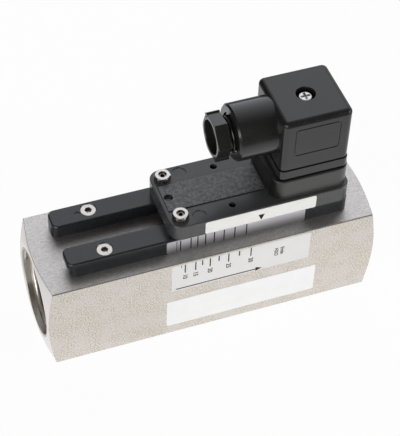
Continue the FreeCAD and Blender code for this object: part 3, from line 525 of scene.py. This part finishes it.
def moulded(name, dark, light, roughness, grain, relief, gloss):
    """Moulded plastic with a fine eroded grain, faint flow clouds and slightly rounded edges."""
    finish = Finish(name, dark, roughness)
    finish.set("IOR", PLASTIC_IOR)
    finish.set("Specular IOR Level", gloss)
    texture = finish.noise(grain, detail=3.0)
    cloud = finish.noise(grain=9.0, detail=3.0)
    uneven = finish.summed(texture, 0.55, cloud, 0.45)
    finish.set("Base Color", finish.mottled(uneven, dark, light))
    finish.roughen(uneven, low=roughness * 0.8, high=roughness * 1.3)
    waves = finish.math("ADD", texture, finish.math("MULTIPLY", cloud, WAVINESS))
    finish.bump(waves, depth=relief, strength=0.6, normal=finish.rounded(PLAIN_EDGE))
    return finish.material


def pedestal_plastic():
    """Satin black moulding, with painted shade on its side below the cable gland."""
    finish = Finish("pedestal_black", colour=(0.05, 0.05, 0.0485), roughness=0.35)
    finish.set("IOR", PLASTIC_IOR)
    texture = finish.noise(grain=0.4, detail=3.0)
    satin = finish.mottled(texture, dark=(0.034, 0.034, 0.0325), light=(0.045, 0.045, 0.043))
    # Painted shade: the side facing the cable gland is nearly black
    gland_side_shade = finish.fall(finish.facing("X"), *GLAND_SHADE_FACING)
    finish.set("Base Color", finish.blend(gland_side_shade, satin, GLAND_SIDE_SHADE_COLOUR))
    finish.roughen(texture, low=0.3, high=0.42)
    finish.bump(texture, depth=0.006 * MM, strength=0.6, normal=finish.rounded(PLAIN_EDGE))
    return finish.material


def housing_plastic():
    """Smooth black moulding whose raised roof panel is rubbed grey and mottled, with painted shade on the
    step wall around the panel.
    """
    finish = Finish("housing_black", colour=(0.016, 0.0163, 0.0172), roughness=0.25)
    finish.set("IOR", PLASTIC_IOR)
    texture = finish.noise(grain=0.5, detail=3.0)
    rubbed = finish.noise(grain=1.6, detail=4.0)
    plain = finish.mottled(texture, dark=(0.038, 0.0385, 0.0395), light=(0.055, 0.0557, 0.057))
    mottle = finish.summed(texture, 0.5, rubbed, 0.5)
    worn = finish.mottled(mottle, dark=(0.032, 0.033, 0.035), light=(0.160, 0.162, 0.167),
                          band=(0.38, 0.64))
    height = finish.height()
    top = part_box("switch_housing")[1].z / MM
    panel = finish.spread(height, top - 2 * FADE_WIDTH, top - FADE_WIDTH)
    colour = finish.blend(panel, plain, worn)
    # Painted shade: the upright step wall around the raised panel is painted nearly black
    roof = top - ROOF_STEP
    above_roof = finish.spread(height, roof - FADE_WIDTH, roof)
    upright = finish.fall(finish.facing("Z"), *SHADED_STEP_WALL)
    step = finish.math("MULTIPLY", above_roof, upright)
    finish.set("Base Color", finish.blend(step, colour, STEP_SHADE_COLOUR))
    worn_roughness = finish.spread(mottle, *NOISE_BAND, 0.36, 0.5)
    finish.roughen(panel, low=0.24, high=worn_roughness, band=WHOLE_BAND)
    finish.bump(mottle, depth=0.01 * MM, strength=0.5, normal=finish.rounded(HOUSING_EDGE))
    return finish.material


def printed_film(name, colour, roughness):
    """Label film with a faint fibre and mottle."""
    finish = Finish(name, colour, roughness)
    fibre = finish.noise(grain=0.3, detail=3.0)
    cloud = finish.noise(grain=7.0)
    shaded = tuple(part * FILM_SHADE for part in colour)
    uneven = finish.summed(fibre, 0.4, cloud, 0.6)
    finish.set("Base Color", finish.mottled(uneven, shaded, colour))
    finish.roughen(fibre, low=roughness - 0.05, high=roughness + 0.07)
    finish.bump(fibre, depth=0.01 * MM, strength=0.25)
    return finish.material


def silver_film():
    """Metallised scale strip with fine lengthwise brushing, and a painted reflection that darkens it
    towards its foot.
    """
    finish = Finish("silver_film", colour=(0.70, 0.69, 0.74), roughness=0.28, metallic=0.65)
    brushed = finish.noise(grain=0.2, stretch=(0.05, 1.0, 1.0))
    bright = finish.blend(brushed, first=(0.70, 0.69, 0.74), second=(0.74, 0.73, 0.78))
    # Painted reflection: bright at the top, fading to a dark foot
    reflection_rise = finish.spread(finish.height(), *STRIP_SHADE)
    finish.set("Base Color", finish.blend(reflection_rise, STRIP_FOOT_SHADE_COLOUR, bright))
    finish.roughen(brushed, low=0.29, high=0.31, band=WIDE_BAND)
    return finish.material


def clear_glass():
    """Greenish glass of the reed switch."""
    finish = Finish("clear_glass", colour=(0.75, 0.9, 0.82), roughness=0.05)
    finish.set("Transmission Weight", 1.0)
    finish.set("IOR", GLASS_IOR)
    finish.roughen(finish.noise(grain=1.5), low=0.02, high=0.09)
    return finish.material


def ink():
    """Black print, slightly uneven."""
    finish = Finish("ink", colour=(0.02, 0.02, 0.02), roughness=0.6)
    finish.set("Specular IOR Level", INK_GLOSS)
    patch = finish.noise(grain=0.25)
    uneven = finish.mottled(patch, dark=(0.008, 0.008, 0.009), light=(0.025, 0.025, 0.025),
                            band=(0.3, 0.75))
    finish.set("Base Color", uneven)
    return finish.material


finishes = {
    "steel_bar": bar_steel(),
    "thread_steel": thread_steel(),
    "socket_screw_steel": socket_screw_steel(),
    "clamp_screw_steel": clamp_screw_steel(),
    "nut_steel": nut_steel(),
    "pedestal_black": pedestal_plastic(),
    "housing_black": housing_plastic(),
    "scale_silver": silver_film(),
    "reed_glass": clear_glass(),
    "ink": ink(),
}
for make_finish, table in ((turned_metal, METALS), (moulded, MOULDINGS), (printed_film, FILMS)):
    for finish_name, values in table.items():
        finishes[finish_name] = make_finish(finish_name, *values)


def dress_nodes():
    """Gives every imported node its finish."""
    for name, node in nodes.items():
        finish_name = NODE_FINISHES.get(name, node.data.materials[0].name)
        for slot in node.material_slots:
            slot.link = "OBJECT"
            slot.material = finishes[finish_name]


def link_object(name, data):
    """New object of the scene."""
    item = bpy.data.objects.new(name, data)
    bpy.context.scene.collection.objects.link(item)
    return item


def seat_piece(name, mesh, finish_name, body):
    """Piece from a mesh, in a finish, that rides on a body."""
    mesh.materials.append(finishes[finish_name])
    piece = link_object(name, mesh)
    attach(piece, body)
    return piece


def add_piece(name, skin, finish_name, body, smooth=False):
    """Piece from the vertices and faces of a skin."""
    vertices, faces = skin
    mesh = bpy.data.meshes.new(name)
    mesh.from_pydata(vertices, [], faces)
    mesh.polygons.foreach_set("use_smooth", [smooth] * len(mesh.polygons))
    mesh.validate()
    return seat_piece(name, mesh, finish_name, body)


def lofted(rings, endless=False):
    """Skin through rings of equal size, with flat ends or joined to itself."""
    size = len(rings[0])
    vertices = [point for ring in rings for point in ring]
    faces = []
    for index in range(len(rings) if endless else len(rings) - 1):
        low = index * size
        high = (index + 1) % len(rings) * size
        for corner in range(size):
            following = (corner + 1) % size
            faces.append((low + corner, low + following, high + following, high + corner))
    if not endless:
        last = (len(rings) - 1) * size
        faces.append(tuple(range(size))[::-1])
        faces.append(tuple(range(last, last + size)))
    return vertices, faces


def joined(skins):
    """Several skins as one."""
    vertices = []
    faces = []
    for skin_vertices, skin_faces in skins:
        faces += [tuple(index + len(vertices) for index in face) for face in skin_faces]
        vertices += skin_vertices
    return vertices, faces


def thread_ridge(start_x, height, length, pitch, root_radius, crest_radius):
    """Skin of a helical ridge about a line along X, which fades out at both ends."""
    turns = length / pitch - 1.0
    steps = int(turns * THREAD_STEPS_PER_TURN)
    foot = THREAD_FOOT * pitch
    land = THREAD_LAND * pitch
    rings = []
    for step in range(steps + 1):
        turn = step / THREAD_STEPS_PER_TURN
        angle = 2 * math.pi * turn
        to_end = min(turn, steps / THREAD_STEPS_PER_TURN - turn)
        fade = min(1.0, THREAD_END_SHARE + to_end / THREAD_FADE_TURNS)
        crest = root_radius + fade * (crest_radius - root_radius)
        middle = start_x + pitch / 2 + turn * pitch
        section = ((-foot, root_radius), (-land, crest), (land, crest), (foot, root_radius))
        rings.append([
            (middle + shift, radius * math.cos(angle), height + radius * math.sin(angle))
            for shift, radius in section
        ])
    return lofted(rings)


def cut_threads():
    """Pipe threads in the ports and the thread on the gland nut's neck."""
    low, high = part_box("flow_body")
    starts = {
        "inlet_thread": (low.x + PIPE_MOUTH_GAP, INLET_THREAD_LENGTH),
        "outlet_thread": (high.x - PIPE_MOUTH_GAP - OUTLET_THREAD_LENGTH, OUTLET_THREAD_LENGTH),
    }
    for name, (start_x, length) in starts.items():
        ridge = thread_ridge(start_x, AXIS_HEIGHT, length,
                             PIPE_PITCH, PIPE_ROOT_RADIUS, PIPE_CREST_RADIUS)
        add_piece(name, ridge, "thread_steel", "flow_body", smooth=True)
    low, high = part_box("gland_nut")
    ridge = thread_ridge(low.x + GLAND_HEX_LENGTH, (low.z + high.z) / 2, GLAND_NECK_LENGTH,
                         GLAND_PITCH, GLAND_ROOT_RADIUS, GLAND_CREST_RADIUS)
    add_piece("gland_thread", ridge, "cover_black", "gland_nut", smooth=True)


def round_cover():
    """Rounds the cover's top edge over its flat bevel."""
    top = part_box("connector_cover")[1].z
    middle_x = joint_places["center_screw_turn"][0]
    turns = [math.pi / 2 * step / COVER_ROUND_STEPS for step in range(COVER_ROUND_STEPS + 1)]
    back = COVER_ROUND / 2 + COVER_SINK
    profile = [(back, top - back)]
    for turn in turns:
        inset = COVER_ROUND * (1 - math.sin(turn))
        profile.append((inset, top - COVER_ROUND * (1 - math.cos(turn))))
    straight = COVER_HALF - COVER_CORNER
    rings = []
    for quarter in range(4):
        diagonal = math.pi / 2 * (quarter + 0.5)
        corner_x = middle_x + math.copysign(straight, math.cos(diagonal))
        corner_y = math.copysign(straight, math.sin(diagonal))
        for turn in turns:
            angle = math.pi / 2 * quarter + turn
            rings.append([
                (corner_x + (COVER_CORNER - inset) * math.cos(angle),
                 corner_y + (COVER_CORNER - inset) * math.sin(angle), z)
                for inset, z in profile
            ])
    skin = lofted(rings, endless=True)
    edge = add_piece("cover_edge", skin, "cover_edge_black", "plug", smooth=True)
    edge.data.set_sharp_from_angle(angle=math.radians(SHARP_ANGLE))


def gland_lugs():
    """Ribs along two corners of the gland nut, to grip it by."""
    low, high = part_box("gland_nut")
    axis = Vector((0.0, 0.0, (low.z + high.z) / 2))
    ends = (low.x, low.x + GLAND_HEX_LENGTH)
    lugs = []
    for angle in LUG_ANGLES:
        outward = Vector((0.0, math.cos(math.radians(angle)), math.sin(math.radians(angle))))
        aside = Vector((-1.0, 0.0, 0.0)).cross(outward)
        corners = [
            axis + radius * outward + side * half * aside
            for (radius, half), side in ((LUG_FOOT, -1), (LUG_TOP, -1), (LUG_TOP, 1), (LUG_FOOT, 1))
        ]
        lugs.append(lofted([[corner + Vector((x, 0.0, 0.0)) for corner in corners] for x in ends]))
    add_piece("gland_lugs", joined(lugs), "cover_black", "gland_nut")


def coil_spring():
    """Compression spring with closed ends; the real one shortens as the float opens, but this one keeps
    one length.
    """
    low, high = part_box("return_spring")
    start_x = low.x + SPRING_WIRE_RADIUS
    end_x = high.x - SPRING_WIRE_RADIUS
    turns = SPRING_OPEN_TURNS + 2 * SPRING_CLOSED_TURNS
    steps = int(turns * SPRING_STEPS_PER_TURN)
    closed_rise = 2 * SPRING_WIRE_RADIUS
    open_rise = (end_x - start_x - 2 * SPRING_CLOSED_TURNS * closed_rise) / SPRING_OPEN_TURNS
    rings = []
    for step in range(steps + 1):
        turn = step / SPRING_STEPS_PER_TURN
        first = min(turn, SPRING_CLOSED_TURNS)
        middle = min(max(turn - SPRING_CLOSED_TURNS, 0.0), SPRING_OPEN_TURNS)
        last = max(turn - SPRING_CLOSED_TURNS - SPRING_OPEN_TURNS, 0.0)
        x = start_x + (first + last) * closed_rise + middle * open_rise
        angle = 2 * math.pi * turn
        outward = Vector((0.0, math.cos(angle), math.sin(angle)))
        centre = Vector((x, 0.0, AXIS_HEIGHT)) + SPRING_COIL_RADIUS * outward
        ring = []
        for side in range(SPRING_WIRE_SIDES):
            around = 2 * math.pi * side / SPRING_WIRE_SIDES
            along = Vector((SPRING_WIRE_RADIUS * math.sin(around), 0.0, 0.0))
            ring.append(centre + SPRING_WIRE_RADIUS * math.cos(around) * outward + along)
        rings.append(ring)
    wire = lofted(rings)
    spring = add_piece("coil_spring", wire, "spring_steel", "flow_body", smooth=True)
    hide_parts("return_spring")
    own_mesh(spring)


def prisms(outlines, front_y):
    """Thin upright prisms from (x, z) outlines, standing on a face that looks towards -Y."""
    depths = (front_y, front_y - INK_THICKNESS)
    return joined(lofted([[(x, y, z) for x, z in outline] for y in depths]) for outline in outlines)


def scale_place(value):
    """Place of a scale value along X."""
    return (SCALE_START + SCALE_LINEAR * value + SCALE_SQUARE * value * value) * MM


def tick_outlines(values, width, z_low, z_high):
    """Outlines of upright ticks at scale values."""
    outlines = []
    for value in values:
        left = scale_place(value) - width / 2
        right = scale_place(value) + width / 2
        outlines.append([(left, z_low), (right, z_low), (right, z_high), (left, z_high)])
    return outlines


def arrow_outline():
    """Outline of the flow arrow."""
    head_x = ARROW_TIP - ARROW_HEAD_LENGTH
    half_line = ARROW_LINE_WIDTH / 2
    return [
        (ARROW_START, ARROW_HEIGHT - half_line),
        (head_x, ARROW_HEIGHT - half_line),
        (head_x, ARROW_HEIGHT - ARROW_HEAD_HALF),
        (ARROW_TIP, ARROW_HEIGHT),
        (head_x, ARROW_HEIGHT + ARROW_HEAD_HALF),
        (head_x, ARROW_HEIGHT + half_line),
        (ARROW_START, ARROW_HEIGHT + half_line),
    ]


def print_text(name, words, size, x, z_top, front_y):
    """Raised print that reads downwards, centred on x."""
    curve = bpy.data.curves.new(name, "FONT")
    curve.body = words
    curve.size = size
    curve.align_x = "LEFT"
    curve.align_y = "CENTER"
    curve.extrude = INK_THICKNESS / 2
    curve.offset = NUMBER_BOLDNESS
    outline = bpy.data.objects.new(name, curve)
    mesh = bpy.data.meshes.new_from_object(outline)
    bpy.data.objects.remove(outline)
    upright = Matrix.Rotation(math.radians(90), 4, "X")
    downward = Matrix.Rotation(math.radians(90), 4, "Y")
    mesh.transform(Matrix.Translation((x, front_y - INK_THICKNESS / 2, z_top)) @ downward @ upright)
    mesh.materials.clear()
    seat_piece(name, mesh, "ink", "flow_body")


def print_strip():
    """Ticks on the rail's scale strip."""
    low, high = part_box("rail_scale_strip")
    heights = (low.z + TICK_MARGIN, high.z - TICK_MARGIN)
    ticks = tick_outlines(SCALE_NUMBERS + SCALE_BETWEEN, TICK_WIDTH, *heights)
    ticks += tick_outlines(SCALE_FIRST, FINE_TICK_WIDTH, *heights)
    add_piece("strip_ticks", prisms(ticks, low.y), "ink", "flow_body")


def print_scale():
    """Ticks, numbers, units and a flow arrow on the scale label."""
    low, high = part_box("flow_scale_label")
    top = high.z - TICK_MARGIN
    marks = tick_outlines(SCALE_NUMBERS, TICK_WIDTH, top - LONG_TICK, top)
    marks += tick_outlines(SCALE_BETWEEN, TICK_WIDTH, top - SHORT_TICK, top)
    marks += tick_outlines(SCALE_FIRST, FINE_TICK_WIDTH, top - FIRST_TICK, top)
    marks.append(arrow_outline())
    add_piece("scale_marks", prisms(marks, low.y), "ink", "flow_body")
    number_top = top - LONG_TICK - NUMBER_GAP
    for value in SCALE_NUMBERS:
        name = f"scale_number_{value}"
        print_text(name, str(value), NUMBER_SIZE, scale_place(value), number_top, low.y)
    for name, words, x in UNITS:
        print_text(name, words, UNIT_SIZE, x, number_top + UNIT_RISE, low.y)


def print_pointer():
    """Triangle on the housing's label that points at the scale."""
    front_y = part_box("housing_label")[0].y
    outline = [
        (POINTER_X, POINTER_TIP),
        (POINTER_X + POINTER_HALF_WIDTH, POINTER_TOP),
        (POINTER_X - POINTER_HALF_WIDTH, POINTER_TOP),
    ]
    add_piece("pointer", prisms([outline], front_y), "ink", "switch_housing")


def floor_material():
    """White floor that keeps a soft shadow, and grows dim with distance in reflections."""
    material = bpy.data.materials.new("floor")
    material.use_nodes = True
    material.node_tree.nodes.clear()
    wiring = Wiring(material.node_tree)
    matt = wiring.add("ShaderNodeBsdfDiffuse")
    wiring.feed(matt.inputs["Color"], FLOOR_COLOUR)
    distance = wiring.length(wiring.add("ShaderNodeTexCoord").outputs["Object"])
    near = wiring.spread(distance, *FLOOR_FALL, 1.0, FLOOR_FAR)
    rays = wiring.add("ShaderNodeLightPath")
    glow = wiring.add("ShaderNodeEmission")
    wiring.feed(glow.inputs["Strength"], wiring.math("MAXIMUM", rays.outputs["Is Camera Ray"], near))
    seen = wiring.math("MAXIMUM", rays.outputs["Is Camera Ray"], rays.outputs["Is Glossy Ray"])
    mix = wiring.add("ShaderNodeMixShader")
    wiring.feed(mix.inputs[0], wiring.math("MULTIPLY", seen, FLOOR_GLOW))
    wiring.feed(mix.inputs[1], matt.outputs[0])
    wiring.feed(mix.inputs[2], glow.outputs[0])
    output = wiring.add("ShaderNodeOutputMaterial")
    wiring.feed(output.inputs[0], mix.outputs[0])
    return material


def build_floor():
    """Plain floor under the object."""
    half = FLOOR_SIZE / 2
    mesh = bpy.data.meshes.new("floor")
    corners = [(-half, -half, 0), (half, -half, 0), (half, half, 0), (-half, half, 0)]
    mesh.from_pydata(corners, [], [(0, 1, 2, 3)])
    mesh.materials.append(floor_material())
    floor = link_object("floor", mesh)


def build_world():
    """Dark room with a white sweep behind the object and a bright panel left and right of the camera."""
    world = bpy.data.worlds.new("studio")
    bpy.context.scene.world = world
    world.use_nodes = True
    wiring = Wiring(world.node_tree)
    direction = wiring.add("ShaderNodeTexCoord").outputs["Generated"]
    x, y, z = (wiring.axis(direction, letter) for letter in "XYZ")
    turn = wiring.math("ARCTAN2", z, wiring.math("MULTIPLY", y, -1.0))
    upper = wiring.spread(turn, *(math.radians(angle) for angle in SWEEP_TOP))
    sweep = wiring.math("MULTIPLY", upper, wiring.spread(x, *SWEEP_LEFT))
    aside = wiring.math("ABSOLUTE", wiring.math("SUBTRACT", x, PANEL_MIDDLE))
    in_front = wiring.fall(y, *PANEL_BACK)
    low_down = wiring.fall(z, *PANEL_TOP)
    panels = wiring.math("MULTIPLY", wiring.spread(aside, *PANEL_SIDES), in_front)
    panels = wiring.math("MULTIPLY", panels, low_down)
    lit = wiring.summed(sweep, SWEEP_STRENGTH, panels, PANEL_STRENGTH)
    seen = wiring.add("ShaderNodeMix")
    wiring.feed(seen.inputs["Factor"], wiring.add("ShaderNodeLightPath").outputs["Is Camera Ray"])
    wiring.feed(seen.inputs["A"], wiring.math("ADD", lit, ROOM_STRENGTH))
    wiring.feed(seen.inputs["B"], 1.0)
    background = world.node_tree.nodes["Background"]
    wiring.feed(background.inputs["Color"], wiring.blend(sweep, PANEL_COLOUR, SWEEP_COLOUR))
    wiring.feed(background.inputs["Strength"], seen.outputs[0])


def build_camera():
    """Camera at the picture's view."""
    azimuth = math.radians(CAMERA_AZIMUTH)
    elevation = math.radians(CAMERA_ELEVATION)
    roll = math.radians(CAMERA_ROLL)
    back = Vector((
        math.sin(azimuth) * math.cos(elevation),
        -math.cos(azimuth) * math.cos(elevation),
        math.sin(elevation),
    ))
    level_right = Vector((math.cos(azimuth), math.sin(azimuth), 0.0))
    level_up = back.cross(level_right)
    right = level_right * math.cos(roll) + level_up * math.sin(roll)
    up = level_up * math.cos(roll) - level_right * math.sin(roll)
    aim = Vector((0, 0, AXIS_HEIGHT)) + CAMERA_AIM_RIGHT * right + CAMERA_AIM_UP * up
    data = bpy.data.cameras.new("camera")
    data.sensor_width = SENSOR_WIDTH
    data.lens = FOCAL_LENGTH_PX * SENSOR_WIDTH / IMAGE_HEIGHT_PX
    camera = link_object("camera", data)
    turn = Matrix((right, up, back)).transposed().to_4x4()
    camera.matrix_world = Matrix.Translation(aim + CAMERA_DISTANCE * back) @ turn
    bpy.context.scene.camera = camera


dress_nodes()
cut_threads()
round_cover()
gland_lugs()
coil_spring()
print_strip()
print_scale()
print_pointer()
build_floor()
build_world()
build_camera()
bpy.context.scene.view_settings.view_transform = "Standard"
